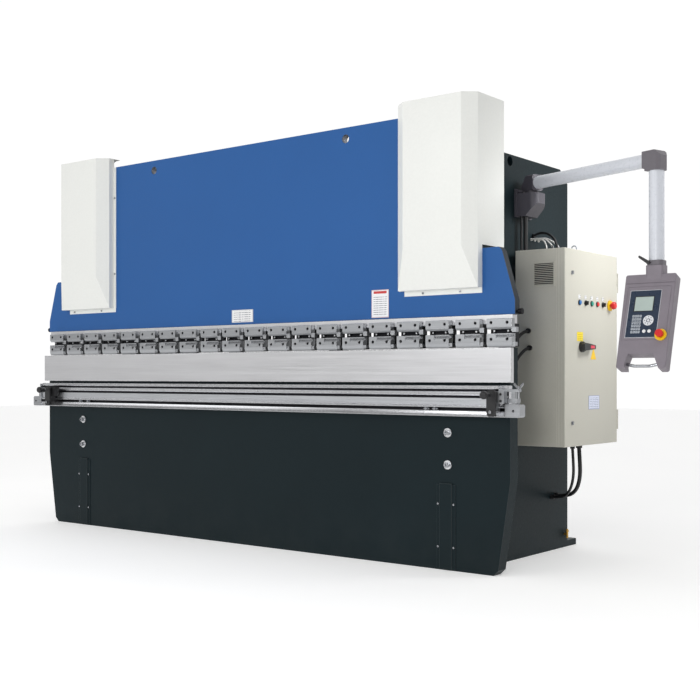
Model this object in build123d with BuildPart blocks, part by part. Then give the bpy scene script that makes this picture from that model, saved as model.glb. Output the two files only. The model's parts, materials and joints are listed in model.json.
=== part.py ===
from build123d import *
from math import radians, tan, sin, cos
import os

os.makedirs("parts", exist_ok=True)

# ---------------------------------------------------------------- dimensions
# X runs along the machine (cabinet side +X), Y to the back, Z up from the floor.
# The origin is on the floor, in the middle of the bed plate.

bed_half = 1985.0            # bed plate, half length
bed_foot_half = 1906.0       # bed plate, half length at the floor
bed_taper_z = 520.0
bed_t = 80.0
table_z = 1240.0             # top of the table
table_half = 2006.0
table_strip_t = 30.0

rail_z0, rail_z1 = 865.0, 1035.0
rail_x0, rail_x1 = -1985.0, 1996.0

stroke = 150.0
ram_half = 2005.0
ram_t = 50.0
ram_z0 = 1420.0
ram_shoulder_z = 1790.0
ram_centre_half = 1290.0
ram_top_z = 2580.0
tool_bar_h = 50.0
tool_half = 1990.0

station_count = 20
station_pitch = 200.0
station_w = 155.0
station_shift = 27.0        # the row of stations sits a little nearer the cabinet
clamp_z0 = 1243.0            # 3 mm above the table at the bottom of the stroke

frame_x0, frame_x1 = 1640.0, 1700.0
frame_top_z = 2390.0
frame_back_y = 1180.0
anchor_x = 1570.0
anchor_y0, anchor_y1 = 130.0, 1240.0
anchor_hole_r = 14.0

cover_x0, cover_x1 = 1264.0, 1800.0
cover_front_y = -130.0
cover_side_y = -70.0
cover_back_y = 210.0
cover_z0, cover_z1 = 1574.0, 2640.0
sheet = 3.0

cyl_x = 1525.0
shaft_y, shaft_z = 330.0, 1700.0
arm_r = 219.0
arm_rest = radians(-20.0)
arm_x = 1500.0
shaft_r = 45.0

cab_x0, cab_x1 = 1732.0, 2032.0
cab_y0, cab_y1 = 460.0, 1150.0
cab_z0, cab_z1 = 680.0, 1820.0
door_t = 20.0
door_gap = 0.5
door_face = cab_x1 + door_gap + door_t - 0.5
hinge_x, hinge_y = 2047.0, 1159.0
row_z = 1515.0
button_ys = [640.0, 798.0, 874.0]
selector_ys = [719.0, 949.0]
estop_y = 1042.0
switch_y, switch_z = 665.0, 1257.0
lock_y = 547.0
lock_zs = [1682.0, 816.0]

pivot_x, pivot_y = 1775.0, 575.0
arm_z = 2225.0
drop_x, drop_y = 2665.0, 300.0
pendant_top_z = 1628.0
pendant_d = 64.0
pendant_turn = radians(2.0)
pendant_tilt = radians(19.5)

hose_thick_d, hose_thin_d = 24.0, 17.0
hose_thick_route = [
    (1950, 840, 655), (1957, 838, 570), (1950, 856, 488), (1916, 893, 415),
    (1862, 945, 372), (1800, 995, 347), (1725, 1010, 338),
]
hose_thin_route = [
    (1950, 755, 655), (1954, 757, 580), (1950, 770, 506), (1926, 798, 440),
    (1886, 840, 390), (1838, 888, 358), (1790, 938, 342), (1725, 955, 335),
]


# ------------------------------------------------------------------- helpers
def block(x0, x1, y0, y1, z0, z1, mode=Mode.ADD):
    with Locations(((x0 + x1) / 2, (y0 + y1) / 2, (z0 + z1) / 2)):
        Box(x1 - x0, y1 - y0, z1 - z0, mode=mode)


def rods(axis, a0, a1, centres, radius, mode=Mode.ADD):
    # round bars along one axis, from a0 to a1, at (p, q) on the other two axes
    mid = (a0 + a1) / 2
    if axis == "X":
        places, turn = [(mid, p, q) for p, q in centres], (0, 90, 0)
    elif axis == "Y":
        places, turn = [(p, mid, q) for p, q in centres], (90, 0, 0)
    else:
        places, turn = [(p, q, mid) for p, q in centres], (0, 0, 0)
    with Locations(*places):
        Cylinder(radius, a1 - a0, rotation=turn, mode=mode)


def outline(plane, points, depth, mode=Mode.ADD):
    with BuildSketch(plane) as profile:
        Polygon(*points, align=None)
    extrude(profile.sketch, amount=depth, dir=plane.z_dir, mode=mode)


def at_x(x):
    return Plane(origin=(x, 0, 0), x_dir=(0, 1, 0), z_dir=(1, 0, 0))


def at_y(y):
    # local x = X, local y = Z, extruding towards +Y needs a negative depth
    return Plane(origin=(0, y, 0), x_dir=(1, 0, 0), z_dir=(0, -1, 0))


def bend_radii(points):
    vs = [Vector(*p) for p in points]
    out = []
    for a, b, c in zip(vs, vs[1:], vs[2:]):
        half = radians((b - a).get_angle(c - b)) / 2
        out.append(0.45 * min((b - a).length, (c - b).length) / tan(half))
    return out


def tube_along(points, diameter):
    with BuildLine() as route:
        FilletPolyline(*points, radius=bend_radii(points))
    line = route.wire()
    with BuildSketch(Plane(origin=line @ 0, z_dir=line % 0)) as section:
        Circle(diameter / 2)
    sweep(section.sketch, path=line)
    return line.length


# --------------------------------------------------------------- side frames
with BuildPart() as side_frame_right:
    with BuildSketch(at_x(frame_x0)) as frame_profile:
        Polygon(
            (40, 0), (frame_back_y, 0), (frame_back_y, 2310), (1080, frame_top_z),
            (150, frame_top_z), (150, 1560), (420, 1560), (420, 1080), (40, 1080),
            align=None,
        )
        throat = [v for v in frame_profile.vertices()
                  if abs(v.Y) > 1 and (abs(v.Z - 1560) < 1 or abs(v.Z - 1080) < 1)
                  and abs(v.Y - 420) < 1]
        if throat:
            fillet(throat, radius=70)
    extrude(amount=frame_x1 - frame_x0)
    # welded blocks behind the bed plate take the tie bolts
    block(1546, frame_x0, 40, 140, 540, 820)
    # welded foot pads with the anchor holes
    block(1500, frame_x0, 60, 200, 0, 40)
    block(1500, frame_x1, 1180, 1300, 0, 40)
    block(1500, frame_x0, 1100, 1180, 0, 40)
    rods("Z", -1, 41, [(anchor_x, anchor_y0), (anchor_x, anchor_y1)], anchor_hole_r, Mode.SUBTRACT)
    rods("X", frame_x0 - 1, frame_x1 + 1, [(452, 2350)], 30, Mode.SUBTRACT)
    rods("Y", 39, 130, [(1586, 770), (1586, 590)], 15.5, Mode.SUBTRACT)

with BuildPart() as side_frame_left:
    add(mirror(side_frame_right.part, about=Plane.YZ, mode=Mode.PRIVATE))

# ---------------------------------------------------------------- bed, table
with BuildPart() as bed_plate:
    outline(at_y(bed_t / 2), [
        (-bed_foot_half + 28, 0), (bed_foot_half - 28, 0), (bed_foot_half + 4, 30),
        (bed_half, bed_taper_z), (bed_half, table_z),
        (-bed_half, table_z), (-bed_half, bed_taper_z), (-bed_foot_half - 4, 30),
    ], bed_t)
    rods("Y", -41, 41, [(x, z) for x in (-1586, 1586) for z in (590, 770)], 15.5, Mode.SUBTRACT)

with BuildPart() as table_strip:
    block(-table_half, table_half, -bed_t / 2 - table_strip_t, -bed_t / 2, 1050, table_z)
    chamfer(table_strip.edges().filter_by(Axis.X), length=2)

with BuildPart() as bed_access_strips:
    for x in (-1575, 1575):
        block(x - 63, x + 63, -44, -40, 3, 478)
        block(x - 41, x + 41, -50, -44, 3, 486)
        block(x - 41, x + 41, -44, -40, 478, 486)
    chamfer(bed_access_strips.faces().filter_by(Axis.Y).sort_by(Axis.Y)[0:2].edges(), length=1.5)

with BuildPart() as bed_screws:
    # tie bolts: washer, head and shank
    tie = [(x, z) for x in (-1586, 1586) for z in (590, 770)]
    rods("Y", -46, -40, tie, 26)
    rods("Y", -64, -46, tie, 15)
    rods("Y", -40, 120, tie, 15)
    rods("Y", -65, -54, tie, 7, Mode.SUBTRACT)
    # cap screws of the access strips
    small = [(s * x, z) for s in (-1, 1) for x in (1523, 1627) for z in (130, 370)]
    rods("Y", -49, -44, small, 6)

with BuildPart() as cross_beams:
    # stiffener behind the bed, rear tie and the platform under the tank
    block(-frame_x0, frame_x0, 140, 200, 240, 940)
    block(-frame_x0, frame_x0, 1090, 1150, 60, 380)
    block(-frame_x0, frame_x0, 1040, 1120, 900, 1000)
    block(-frame_x0, frame_x0, 580, 1120, 1900, 1950)

# ----------------------------------------------------------- front rail
with BuildPart() as front_rail:
    outline(at_x(rail_x0), [
        (-40, rail_z0), (-112, rail_z0 + 1), (-112, 890), (-109, 897), (-84, 897), (-84, 913), (-108, 913),
        (-112, 916), (-112, 922), (-104, 925), (-104, 929), (-108, 930), (-108, 966), (-104, 969), (-88, 969),
        (-88, 981), (-105, 981), (-112, 988), (-112, 996), (-105, 1003), (-86, 1003), (-86, 1015), (-106, 1015),
        (-109, 1018), (-109, 1023), (-104, 1026), (-104, 1034), (-84, 1036), (-40, rail_z1),
    ], rail_x1 - rail_x0)
    # the upper ridges stop short of the right end
    block(1950, rail_x1 + 1, -113, -74, 926, 1040, Mode.SUBTRACT)

with BuildPart() as rail_fittings:
    # end brackets with a round hole
    block(rail_x1, 2086, -118, -60, 866, 936)
    block(rail_x1, 2040, -60, -40, 866, 936)
    block(-2075, rail_x0, -118, -60, 866, 936)
    block(-2075, -2060, -60, -40, 866, 936)
    block(-1997, rail_x0, -118, -60, 936, 1030)
    chamfer(rail_fittings.edges().filter_by(Axis.Y).group_by(Axis.X)[-1], length=8)
    chamfer(rail_fittings.edges().filter_by(Axis.Y).group_by(Axis.X)[0], length=8)
    rods("Y", -119, -59, [(2046, 901), (-2047, 901)], 7.5, Mode.SUBTRACT)
    # two bars carry the wing bolt beyond the ridges
    block(1950, 2072, -104, -74, 1002, 1017)
    block(1950, 2066, -110, -74, 944, 967)
    block(2028, 2050, -104, -80, 936, 1002)
    for wx, z in ((2064, 1017), (-2037, 966)):
        rods("Z", 936, z, [(wx, -90)], 6)
        rods("Z", z, z + 16, [(wx, -90)], 12)
        outline(at_y(-86), [(wx - 26, z + 34), (wx - 30, z + 24), (wx - 9, z + 2), (wx + 9, z + 2),
                            (wx + 30, z + 24), (wx + 26, z + 34), (wx + 8, z + 16), (wx - 8, z + 16)], 8)
    # nuts left in the groove, each on a thin pointed plate
    for nx in (-1540, -1456, 1483, 1541):
        rods("Y", -111.5, -84, [(nx, 905)], 7.9)
        outline(at_y(-98), [(nx - 22, 905), (nx - 8, 898), (nx + 8, 898), (nx + 22, 905), (nx + 8, 912), (nx - 8, 912)], 5)

for side, cx in (("left", -1840.0), ("right", 1941.0)):
    with BuildPart() as carriage:
        # slider on the rail, its tongue in the groove, and the arm down to the lip
        block(cx - 30, cx + 66, -150, -112.6, 940, 1006)
        block(cx - 26, cx + 60, -112.6, -90, 971.5, 978.5)
        block(cx - 24, cx + 24, -158, -112.6, 872, 960)
        chamfer(carriage.edges().filter_by(Axis.Z).group_by(Axis.Y)[0], length=5)
        rods("Y", -154, -150, [(cx + 48, 990), (cx + 48, 954)], 7)
        # stop lever and its cap screw
        outline(at_y(-158), [(cx - 27, 890), (cx - 22, 877), (cx - 12, 870), (cx + 12, 870), (cx + 22, 877), (cx + 27, 890),
                             (cx + 30, 1000), (cx + 20, 1010), (cx - 20, 1010), (cx - 28, 1000)], 14)
        rods("Y", -182, -172, [(cx, 895)], 9)
        # stud of the knob
        rods("Y", -214, -172, [(cx - 2, 986)], 8)
    carriage.part.label = "front_carriage_" + side
    export_step(carriage.part, "parts/front_carriage_" + side + ".step")

    with BuildPart() as knob:
        # ball-like grip on a short collar
        rods("Y", -254, -222, [(cx - 2, 986)], 22)
        fillet(knob.edges().filter_by(GeomType.CIRCLE), radius=13)
        rods("Y", -226, -198, [(cx - 2, 986)], 13)
        rods("Y", -215, -197, [(cx - 2, 986)], 8.05, Mode.SUBTRACT)
    knob.part.label = "carriage_knob_" + side
    export_step(knob.part, "parts/carriage_knob_" + side + ".step")

# ------------------------------------------------------------------- ram
with BuildPart() as ram_plate:
    outline(at_y(ram_t / 2), [
        (-ram_half, ram_z0), (ram_half, ram_z0), (ram_half, 1500), (1925, 1770), (1905, ram_shoulder_z),
        (ram_centre_half, ram_shoulder_z), (ram_centre_half, ram_top_z),
        (-ram_centre_half, ram_top_z), (-ram_centre_half, ram_shoulder_z),
        (-1905, ram_shoulder_z), (-1925, 1770), (-ram_half, 1500),
    ], ram_t)
    rods("Y", -26, 26, [(-845, 2512), (845, 2512)], 25, Mode.SUBTRACT)

with BuildPart() as ram_tool_bar:
    block(-tool_half, tool_half, -ram_t / 2, ram_t / 2, ram_z0 - tool_bar_h, ram_z0)
    chamfer(ram_tool_bar.edges().filter_by(Axis.X).group_by(Axis.Z)[0], length=2)

# one clamp station, repeated along the ram
half_w = station_w / 2
with BuildPart() as body_station:
    block(-half_w + 2, half_w - 2, -6, 25, clamp_z0 + 2, 1370)
    block(-half_w + 2, half_w - 2, -20, -6, 1290, 1370)
    block(-half_w + 2, half_w - 2, -28, -20, 1346, 1370)
with BuildPart() as clamp_bodies:
    with Locations((station_shift, 0)):
        with GridLocations(station_pitch, 1, station_count, 1):
            add(body_station.part)

with BuildPart() as upper_station:
    outline(at_x(-half_w), [(-28, 1340), (-52, 1340), (-62, 1352), (-62, 1395), (-59, 1398), (-28, 1398)], station_w)
    # pressure piece in the gap to the next station
    block(half_w - 1, half_w + 25, -56, -30, 1323, 1350)
    block(half_w - 10, half_w, -50, -30, 1330, 1345)
    rods("Y", -63, -50, [(-50, 1376), (50, 1376)], 9, Mode.SUBTRACT)
with BuildPart() as upper_clamp_plates:
    with Locations((station_shift, 0)):
        with GridLocations(station_pitch, 1, station_count, 1):
            add(upper_station.part)

with BuildPart() as lower_station:
    outline(at_x(-half_w), [(-20, clamp_z0), (-54, clamp_z0), (-62, 1260), (-62, 1315), (-60, 1317), (-20, 1317)], station_w)
    block(half_w - 1, half_w + 19, -56, -30, 1249, 1270)
    # recess behind the slide bar
    block(-half_w + 0.4 * station_w - 5, half_w + 1, -63, -55, 1292, 1318, Mode.SUBTRACT)
    rods("Y", -63, -50, [(-50, 1286), (50, 1286)], 9, Mode.SUBTRACT)
with BuildPart() as lower_clamp_plates:
    with Locations((station_shift, 0)):
        with GridLocations(station_pitch, 1, station_count, 1):
            add(lower_station.part)

with BuildPart() as screw_station:
    rods("Y", -59, -50, [(-50, 1376), (50, 1376), (-50, 1286), (50, 1286)], 8)
    rods("Y", -34, -20, [(-46, 1331), (40, 1331)], 6)
with BuildPart() as clamp_screws:
    with Locations((station_shift, 0)):
        with GridLocations(station_pitch, 1, station_count, 1):
            add(screw_station.part)

with BuildPart() as bar_station:
    block(-half_w + 0.4 * station_w, half_w + 20, -66, -55, 1298, 1311)
    fillet(bar_station.edges().filter_by(Axis.Y).group_by(Axis.X)[0], radius=6)
with BuildPart() as clamp_slide_bars:
    with Locations((station_shift, 0)):
        with GridLocations(station_pitch, 1, station_count, 1):
            add(bar_station.part)

# sheet covers over the cylinders, screwed to the ram
with BuildPart() as ram_cover_right:
    outline(Plane.XY.offset(cover_z0), [
        (cover_x0, -25), (cover_x0, cover_side_y), (cover_x0 + 75, cover_front_y),
        (cover_x1 - 70, cover_front_y), (cover_x1, cover_side_y), (cover_x1, -25),
    ], cover_z1 - cover_z0)
    outline(at_x(cover_x0 - 5), [(-150, cover_z0 - 1), (cover_side_y, cover_z0 - 1), (cover_side_y, cover_z0),
                                 (cover_front_y, 1800), (-150, 1800)], cover_x1 - cover_x0 + 10, Mode.SUBTRACT)
    with BuildPart(mode=Mode.PRIVATE) as hollow:
        outline(Plane.XY.offset(cover_z0 + sheet), [
            (cover_x0 + sheet, 0), (cover_x0 + sheet, cover_side_y + 1.6), (cover_x0 + 76.2, cover_front_y + sheet),
            (cover_x1 - 71.2, cover_front_y + sheet), (cover_x1 - sheet, cover_side_y + 1.6), (cover_x1 - sheet, 0),
        ], cover_z1 - cover_z0 - 2 * sheet)
        outline(at_x(cover_x0 - 5), [(-150, cover_z0 - 1), (cover_side_y + 3.1, cover_z0 - 1), (cover_side_y + 3.1, cover_z0),
                                     (cover_front_y + 3.1, 1800), (-150, 1800)], cover_x1 - cover_x0 + 10, Mode.SUBTRACT)
    add(hollow.part, mode=Mode.SUBTRACT)
    # outer side and top reach back past the side frame
    block(cover_x1 - sheet, cover_x1, -40, cover_back_y, 1810, cover_z1)
    outline(Plane.XY.offset(cover_z1 - sheet), [(cover_x0, -40), (cover_x1, -40), (cover_x1, cover_back_y), (1700, cover_back_y),
                                                (1300, 28), (cover_x0, 28)], sheet)
    # flanges against the ram
    block(cover_x0 - 22, cover_x0 + sheet, -28, -25, cover_z0, ram_top_z)

with BuildPart() as ram_cover_left:
    add(mirror(ram_cover_right.part, about=Plane.YZ, mode=Mode.PRIVATE))
    block(-cover_x1 + 42, -cover_x0 + 20, -28, -25, cover_z0 - 30, cover_z0 + sheet)

with ram_cover_right:
    block(cover_x0 + 16, cover_x1, -28, -25, cover_z0 - 30, cover_z0 + sheet)

with BuildPart() as ram_fittings:
    spots = [(1252, 2358), (1252, 1817), (-1252, 2358), (-1252, 1817), (1410, 1558), (1660, 1558), (-1700, 1558), (-1397, 1558)]
    rods("Y", -33, -28, spots, 6.5)
    # round headed pins at the ends of the ram
    for s in (-1, 1):
        x0, x1 = sorted((s * ram_half, s * (ram_half + 10)))
        rods("X", x0, x1, [(0, 1436)], 8)
        x0, x1 = sorted((s * (ram_half + 10), s * (ram_half + 32)))
        rods("X", x0, x1, [(0, 1436)], 16)
    # blank data plates
    block(-98, 91, -27, -25, 1434, 1516)
    block(1042, 1167, -27, -25, 1429, 1593)

with BuildPart() as piston_rods:
    rods("Z", ram_shoulder_z, 2000, [(-cyl_x, 0), (cyl_x, 0)], 60)
    with Locations((-cyl_x, 0, ram_shoulder_z + 12), (cyl_x, 0, ram_shoulder_z + 12)):
        Box(150, 48, 24)

pin_y = shaft_y - arm_r * cos(arm_rest)
pin_z = shaft_z + arm_r * sin(arm_rest)
with BuildPart() as ram_brackets:
    # guide shoes
    block(frame_x0 + 2, frame_x1 - 2, 25, 119.5, 1600, 1790)
    # slotted brackets of the torsion arms
    block(arm_x + 14, arm_x + 34, 25, 160, 1580, 1670)
    block(arm_x + 14, arm_x + 34, 98.5, 137, pin_z - 12.9, pin_z + 12.9, Mode.SUBTRACT)
    mirror(about=Plane.YZ)

with BuildPart() as torsion_shaft:
    rods("X", -1618, 1618, [(shaft_y, shaft_z)], shaft_r)
    for s in (-1, 1):
        x0, x1 = sorted((s * (arm_x - 14), s * (arm_x + 12)))
        arm_plane = Plane(origin=(x0, shaft_y, shaft_z), x_dir=(0, cos(arm_rest), -sin(arm_rest)), z_dir=(1, 0, 0))
        outline(arm_plane, [(60, -58), (60, 58), (-arm_r, 24), (-arm_r - 24, 14), (-arm_r - 24, -14), (-arm_r, -24)], x1 - x0)
        x0, x1 = sorted((s * (arm_x - 14), s * (arm_x + 40)))
        rods("X", x0, x1, [(pin_y, pin_z)], 12)

# ------------------------------------------------ guides, bearings, cylinders
with BuildPart() as frame_brackets:
    # guide rails of the ram
    block(frame_x0, frame_x1, 120, 150, 1565, 2040)
    # cylinder mounting plates
    block(1400, frame_x1, 112, 150, 2050, 2500)
    # torsion shaft bearings
    block(1600, frame_x0, shaft_y - 80, shaft_y + 80, shaft_z - 80, shaft_z + 80)
    rods("X", 1599, 1630, [(shaft_y, shaft_z)], shaft_r + 0.06, Mode.SUBTRACT)
    mirror(about=Plane.YZ)

with BuildPart() as cylinders:
    block(cyl_x - 110, cyl_x + 110, -106, 112, 2060, 2480)
    chamfer(cylinders.edges().filter_by(Axis.Z), length=14)
    rods("Z", 1975, 2060, [(cyl_x, 0)], 95)
    rods("Z", 2480, 2560, [(cyl_x, 0)], 85)
    rods("Z", 1974, 2300, [(cyl_x, 0)], 60.05, Mode.SUBTRACT)
    mirror(about=Plane.YZ)

with BuildPart() as oil_tank:
    block(-600, 600, 620, 1100, 1950, 2330)
    block(-596, 596, 624, 1096, 1954, 2331, Mode.SUBTRACT)
    # lid on a rim, with a filler cap
    block(-610, 610, 610, 1110, 2330, 2338)
    rods("Z", 2338, 2372, [(-420, 760)], 38)

with BuildPart() as pump_motor:
    rods("X", 760, 1060, [(840, 2100)], 115)
    block(700, 760, 750, 930, 1990, 2200)
    block(780, 1040, 760, 920, 1950, 2000)
    rods("X", 1060, 1110, [(840, 2100)], 105)
    block(860, 980, 790, 890, 2200, 2260)
    rods("X", 600, 700, [(840, 2100)], 30)

with BuildPart() as hydraulic_pipework:
    # valve blocks by the cylinder heads, and the pipes to the tank
    for s in (-1, 1):
        x0, x1 = sorted((s * 1460, s * 1590))
        block(x0, x1, 88, 250, 2500, 2580)
        tube_along([(s * 1525, 250, 2540), (s * 1525, 430, 2545), (s * 540, 432, 2540), (s * 535, 800, 2545), (s * 535, 800, 2338)], 34)
    # drain fitting low on the cabinet side
    rods("X", frame_x1, frame_x1 + 18, [(1139, 84)], 9)
    rods("Z", 60, 116, [(frame_x1 + 18, 1139)], 8)
    rods("Z", 100, 108, [(frame_x1 + 18, 1139)], 12)

# --------------------------------------------------------------- backgauge
with BuildPart() as backgauge_rails:
    for x in (-900, 900):
        block(x - 30, x + 30, 140, 1120, 1000, 1030)
        block(x - 20, x + 20, 160, 1100, 1030, 1060)
        block(x - 30, x + 30, 140, 200, 940, 1000)
    # drive housing between the rails
    block(-80, 80, 1040, 1120, 1000, 1090)
    rods("Y", 1120, 1260, [(0, 1045)], 40)

with BuildPart() as backgauge_beam:
    for x in (-900, 900):
        block(x - 60, x + 60, 440, 600, 1061, 1110)
        block(x - 60, x - 21, 440, 600, 1036, 1061)
        block(x + 21, x + 60, 440, 600, 1036, 1061)
    block(-1450, 1450, 480, 560, 1110, 1190)
    block(-1450, 1450, 500, 540, 1190, 1200)

for side, fx in (("left", -450.0), ("right", 450.0)):
    with BuildPart() as finger:
        block(fx - 45, fx + 45, 462, 578, 1200.5, 1232)
        block(fx - 45, fx + 45, 462, 479.5, 1120, 1200.5)
        block(fx - 45, fx + 45, 560.5, 578, 1120, 1200.5)
        block(fx - 30, fx + 30, 400, 520, 1232, 1256)
        block(fx - 20, fx + 20, 330, 400, 1244, 1256)
    finger.part.label = "gauge_finger_" + side
    export_step(finger.part, "parts/gauge_finger_" + side + ".step")

# ----------------------------------------------------------------- cabinet
wall = 3.0
with BuildPart() as cabinet_body:
    block(cab_x0, cab_x1, cab_y0, cab_y1, cab_z0, cab_z1)
    chamfer(cabinet_body.edges().filter_by(Axis.X), length=3)
    block(cab_x0 + wall, cab_x1 + 1, cab_y0 + wall, cab_y1 - wall, cab_z0 + wall, cab_z1 - wall, Mode.SUBTRACT)
    # inward rim round the door
    block(cab_x1 - wall, cab_x1, cab_y0 + wall, cab_y1 - wall, cab_z0 + wall, cab_z1 - wall)
    block(cab_x1 - wall - 1, cab_x1 + 1, cab_y0 + 26, cab_y1 - 26, cab_z0 + 26, cab_z1 - 26, Mode.SUBTRACT)
    # fine grooves of the corner profile
    for x in (1999, 2013):
        block(x, x + 3, cab_y0 - 1, cab_y0 + 1.4, cab_z0 - 1, cab_z1 + 1, Mode.SUBTRACT)
    # window for the louver
    block(1856, 1981, cab_y0 - 1, cab_y0 + wall + 1, 1611, 1736, Mode.SUBTRACT)
    # hinge knuckles
    for z in (800, 1640):
        rods("Z", z, z + 40, [(hinge_x, hinge_y)], 8)
        block(cab_x1 - 12, hinge_x, cab_y1, hinge_y + 2, z, z + 40)

with BuildPart() as cabinet_louver:
    block(1847, 1990, cab_y0 - 6, cab_y0, 1602, 1745)
    block(1856, 1981, cab_y0 - 7, cab_y0 + 1, 1611, 1736, Mode.SUBTRACT)
    for i in range(12):
        z = 1611 + i * 10.4
        outline(at_x(1856), [(cab_y0 - 6, z + 1), (cab_y0 - 4, z + 1), (cab_y0 + 2, z + 8), (cab_y0, z + 8)], 125)

with BuildPart() as cabinet_internals:
    # mounting plate with switchgear, and the brackets that hold the cabinet
    block(1745, 1748, 490, 1120, 720, 1780)
    block(1735, 1745, 500, 540, 730, 1770)
    block(1735, 1745, 1070, 1110, 730, 1770)
    for z in (820, 1060, 1300, 1540):
        block(1748, 1754, 520, 1090, z, z + 35)
        block(1754, 1836, 540, 640, z - 40, z + 80)
        block(1754, 1822, 650, 830, z - 30, z + 70)
        block(1754, 1846, 850, 940, z - 40, z + 90)
        block(1754, 1812, 950, 1070, z - 20, z + 60)
    for z in (760, 1680):
        block(frame_x1, cab_x0, 520, 600, z, z + 60)
        block(frame_x1, cab_x0, 1010, 1090, z, z + 60)
    # lifting eye on the roof
    rods("Z", cab_z1, cab_z1 + 8, [(1960, 756)], 14)
    with Locations(Location((1960, 756, cab_z1 + 24), (90, 0, 0))):
        Torus(16, 4)

with BuildPart() as cabinet_cables:
    # conduits from the arm housing down to the cabinet roof
    rods("Z", cab_z1, 2030, [(1748, 552)], 12.5)
    rods("Z", cab_z1, 2030, [(1734, 527)], 7.5)
    # hoses from the cabinet front to the side frame
    tube_along([(1820, 460, 1349), (1812, 405, 1340), (1790, 360, 1295), (1762, 338, 1230),
                (1742, 328, 1160), (1728, 326, 1098), (1706, 330, 1052)], 19)
    tube_along([(1828, 460, 1250), (1822, 412, 1241), (1802, 376, 1200), (1772, 362, 1145),
                (1744, 360, 1092), (1706, 366, 1046)], 18)
    # cables over the cabinet roof
    tube_along([(1704, 727, 1936), (1755, 722, 1952), (1815, 708, 1940), (1868, 688, 1902), (1900, 672, 1826)], 15)
    rods("Z", cab_z1, cab_z1 + 12, [(1900, 672)], 13)
    rods("X", frame_x1, frame_x1 + 12, [(727, 1936)], 13)
    rods("X", frame_x1, frame_x1 + 12, [(330, 1052)], 16)
    rods("X", frame_x1, frame_x1 + 12, [(366, 1046)], 16)
    for k, (ya, xb, yb) in enumerate(((700, 1812, 702), (745, 1836, 735), (790, 1862, 762))):
        rods("Z", cab_z1, cab_z1 + 8, [(xb, yb)], 8)
        rods("X", frame_x1, frame_x1 + 8, [(ya, 1912)], 8)
        tube_along([(1703, ya, 1912), (1742, ya + 4, 1918 + 6 * k), (1788, (ya + yb) / 2 + 3, 1902 + 5 * k),
                    (xb - 8, yb + 2, 1868), (xb, yb, cab_z1 + 4)], 9)
    # glands on the cabinet front, below it, and on the side frame
    rods("Y", cab_y0 - 14, cab_y0, [(1820, 1349), (1828, 1250)], 15)
    rods("Z", 655, cab_z0, [(1950, 840)], 19)
    rods("Z", 655, cab_z0, [(1950, 755)], 14)
    rods("X", frame_x1, frame_x1 + 25, [(1010, 338)], 19)
    rods("X", frame_x1, frame_x1 + 25, [(955, 335)], 14)

with BuildPart() as hose_thick:
    thick_length = tube_along(hose_thick_route, hose_thick_d)
with BuildPart() as hose_thin:
    thin_length = tube_along(hose_thin_route, hose_thin_d)

with BuildPart() as cabinet_door:
    block(cab_x1 + door_gap, door_face, cab_y0, cab_y1, cab_z0, cab_z1)
    chamfer(cabinet_door.faces().sort_by(Axis.X)[-1].edges(), length=3)
    block(cab_x1 + door_gap - 1, cab_x1 + door_gap + 2, cab_y0 + 30, cab_y1 - 30, cab_z0 + 30, cab_z1 - 30, Mode.SUBTRACT)
    # pockets of the push buttons, selectors and locks
    rods("X", door_face - 13, door_face + 1, [(y, row_z) for y in button_ys + selector_ys], 12.5, Mode.SUBTRACT)
    rods("X", door_face - 13, door_face + 1, [(estop_y, row_z), (switch_y, switch_z)], 10.5, Mode.SUBTRACT)
    rods("X", door_face - 13, door_face + 1, [(lock_y, z) for z in lock_zs], 12.5, Mode.SUBTRACT)
    for z in (759.5, 840.5, 1599.5, 1680.5):
        rods("Z", z, z + 40, [(hinge_x, hinge_y)], 8)
        block(door_face - 10, hinge_x + 4, cab_y1 - 4, hinge_y, z, z + 40)

with BuildPart() as door_fittings:
    # bezels, label plates and the base of the main switch
    rods("X", door_face, door_face + 5, [(y, row_z) for y in button_ys + selector_ys], 16)
    rods("X", door_face - 1, door_face + 6, [(y, row_z) for y in button_ys + selector_ys], 12.5, Mode.SUBTRACT)
    rods("X", door_face, door_face + 10, [(estop_y, row_z)], 32)
    rods("X", door_face - 1, door_face + 11, [(estop_y, row_z)], 10.5, Mode.SUBTRACT)
    for y in button_ys + selector_ys:
        block(door_face, door_face + 1.5, y - 14, y + 14, 1538, 1560)
    rods("X", door_face, door_face + 14, [(switch_y, switch_z)], 31.5)
    rods("X", door_face - 1, door_face + 15, [(switch_y, switch_z)], 10.5, Mode.SUBTRACT)
    # label plates
    block(door_face, door_face + 1, 610, 685, 1290, 1343)
    outline(at_x(door_face), [(786, 1185), (858, 1185), (822, 1257)], 1)
    block(door_face, door_face + 1, 760, 901, 890, 971)

for name, y in (("push_button_blue", 640.0), ("push_button_green", 798.0), ("push_button_red", 874.0)):
    with BuildPart() as button:
        rods("X", door_face - 7, door_face + 11, [(y, row_z)], 12.1)
        chamfer(button.faces().sort_by(Axis.X)[-1].edges(), length=1.5)
    button.part.label = name
    export_step(button.part, "parts/" + name + ".step")

for name, y in (("selector_left", 719.0), ("selector_right", 949.0)):
    with BuildPart() as selector:
        rods("X", door_face - 7, door_face + 9, [(y, row_z)], 12.1)
        block(door_face + 9, door_face + 20, y - 4, y + 4, row_z - 11, row_z + 11)
    selector.part.label = name
    export_step(selector.part, "parts/" + name + ".step")

with BuildPart() as emergency_stop:
    rods("X", door_face - 5, door_face + 22, [(estop_y, row_z)], 10)
    rods("X", door_face + 20, door_face + 42, [(estop_y, row_z)], 22)
    chamfer(emergency_stop.faces().sort_by(Axis.X)[-1].edges(), length=5)

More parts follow.
